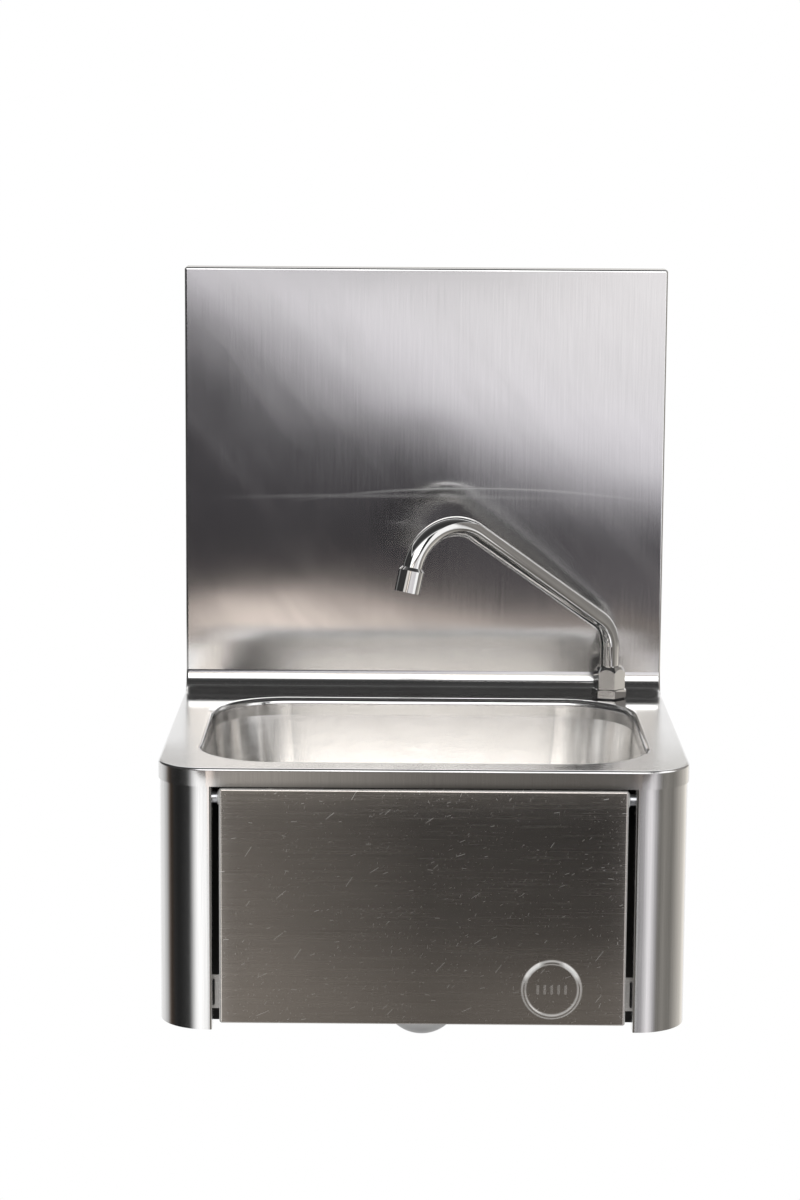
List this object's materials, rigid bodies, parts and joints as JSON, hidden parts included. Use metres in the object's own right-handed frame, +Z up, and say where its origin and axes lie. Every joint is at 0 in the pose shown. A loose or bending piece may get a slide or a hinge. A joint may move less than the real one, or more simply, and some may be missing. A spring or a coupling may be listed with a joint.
{
  "type": "hand wash sink",
  "caption": "Wall-hung stainless steel hand wash basin with a high splashback, a swivelling spout, and a knee panel that works the mixing valve.",
  "frame": {"origin": "on the wall plane, at the centre of the four fixing holes, in line with the bowl's middle", "axes": "+Z up, -Y is the front where the user stands, +X is the user's right, where the spout and the valve are"},
  "size_m": [0.4, 0.3707, 0.602],
  "materials": {
    "sheet_steel": "satin brushed stainless steel",
    "bowl_steel": "bright drawn stainless steel",
    "panel_steel": "horizontally brushed stainless steel",
    "zinc_steel": "zinc plated steel",
    "chrome": "polished chrome",
    "brass": "plain turned brass",
    "rubber": "matt black rubber",
    "fibre": "pressed fibre seal",
    "black_plastic": "matt moulded plastic",
    "white_plastic": "moulded plastic",
    "pipe_plastic": "white plastic pipe",
    "spring_steel": "drawn spring wire"
  },
  "bodies": {
    "basin": {"deck_and_splashback": "sheet_steel", "bowl": "bowl_steel", "right_skirt": "sheet_steel", "left_skirt": "sheet_steel", "pivot_pins": "zinc_steel", "pivot_spacers": "zinc_steel", "pivot_nuts": "zinc_steel", "valve_rail": "sheet_steel", "rail_cleats": "sheet_steel", "rail_screws": "zinc_steel", "rail_nuts": "zinc_steel", "valve_body": "brass", "valve_washer": "zinc_steel", "valve_lock_nut": "brass", "valve_bonnet": "brass", "valve_end_cap": "brass", "spindle_ring": "rubber", "check_valves": "white_plastic", "riser_pipe": "chrome", "riser_lower_nut": "brass", "riser_upper_nut": "brass", "spout_shank": "chrome", "deck_gasket": "rubber", "shank_washer": "fibre", "shank_back_nut": "brass", "spout_union_nut": "chrome", "waste_flange": "chrome", "waste_screw": "chrome", "waste_gasket_upper": "rubber", "waste_gasket_lower": "rubber", "waste_body": "chrome", "trap_inlet_nut": "chrome", "trap_body": "chrome", "trap_dip_tube": "chrome", "trap_cup": "chrome", "trap_cup_seal": "rubber", "trap_outlet_nut": "chrome", "outlet_pipe": "pipe_plastic", "wall_rosette": "chrome"},
    "panel": {"knee_panel": "panel_steel", "stop_buffers": "rubber", "pivot_bushes": "white_plastic"},
    "plunger": {"spindle": "zinc_steel", "valve_disc": "rubber", "knee_button": "black_plastic", "return_spring": "spring_steel"},
    "spout": {"spout_tube": "chrome", "spout_foot": "brass", "spout_rings": "rubber", "spout_slip_ring": "white_plastic", "aerator_housing": "chrome", "aerator_washer": "rubber", "aerator_insert": "white_plastic"}
  },
  "joints": [
    {"name": "panel_swing", "type": "hinge", "parent": "basin", "child": "panel", "pos_m": [0, -0.33, 0.086], "axis": [1, 0, 0], "range_deg": [0, 5]},
    {"name": "plunger_slide", "type": "slide", "parent": "basin", "child": "plunger", "axis": [0, 1, 0], "range_m": [0, 0.0126], "stiffness_N_per_m": 1500, "springref_m": -0.01, "deforming": ["return_spring"]},
    {"name": "spout_swivel", "type": "hinge", "parent": "basin", "child": "spout", "pos_m": [0.155, -0.05, 0.12], "axis": [0, 0, 1], "range_deg": [-33, 148]}
  ],
  "couplings": [
    {"joint": "plunger_slide", "follows": "panel_swing", "m_per_rad": 0.144}
  ]
}
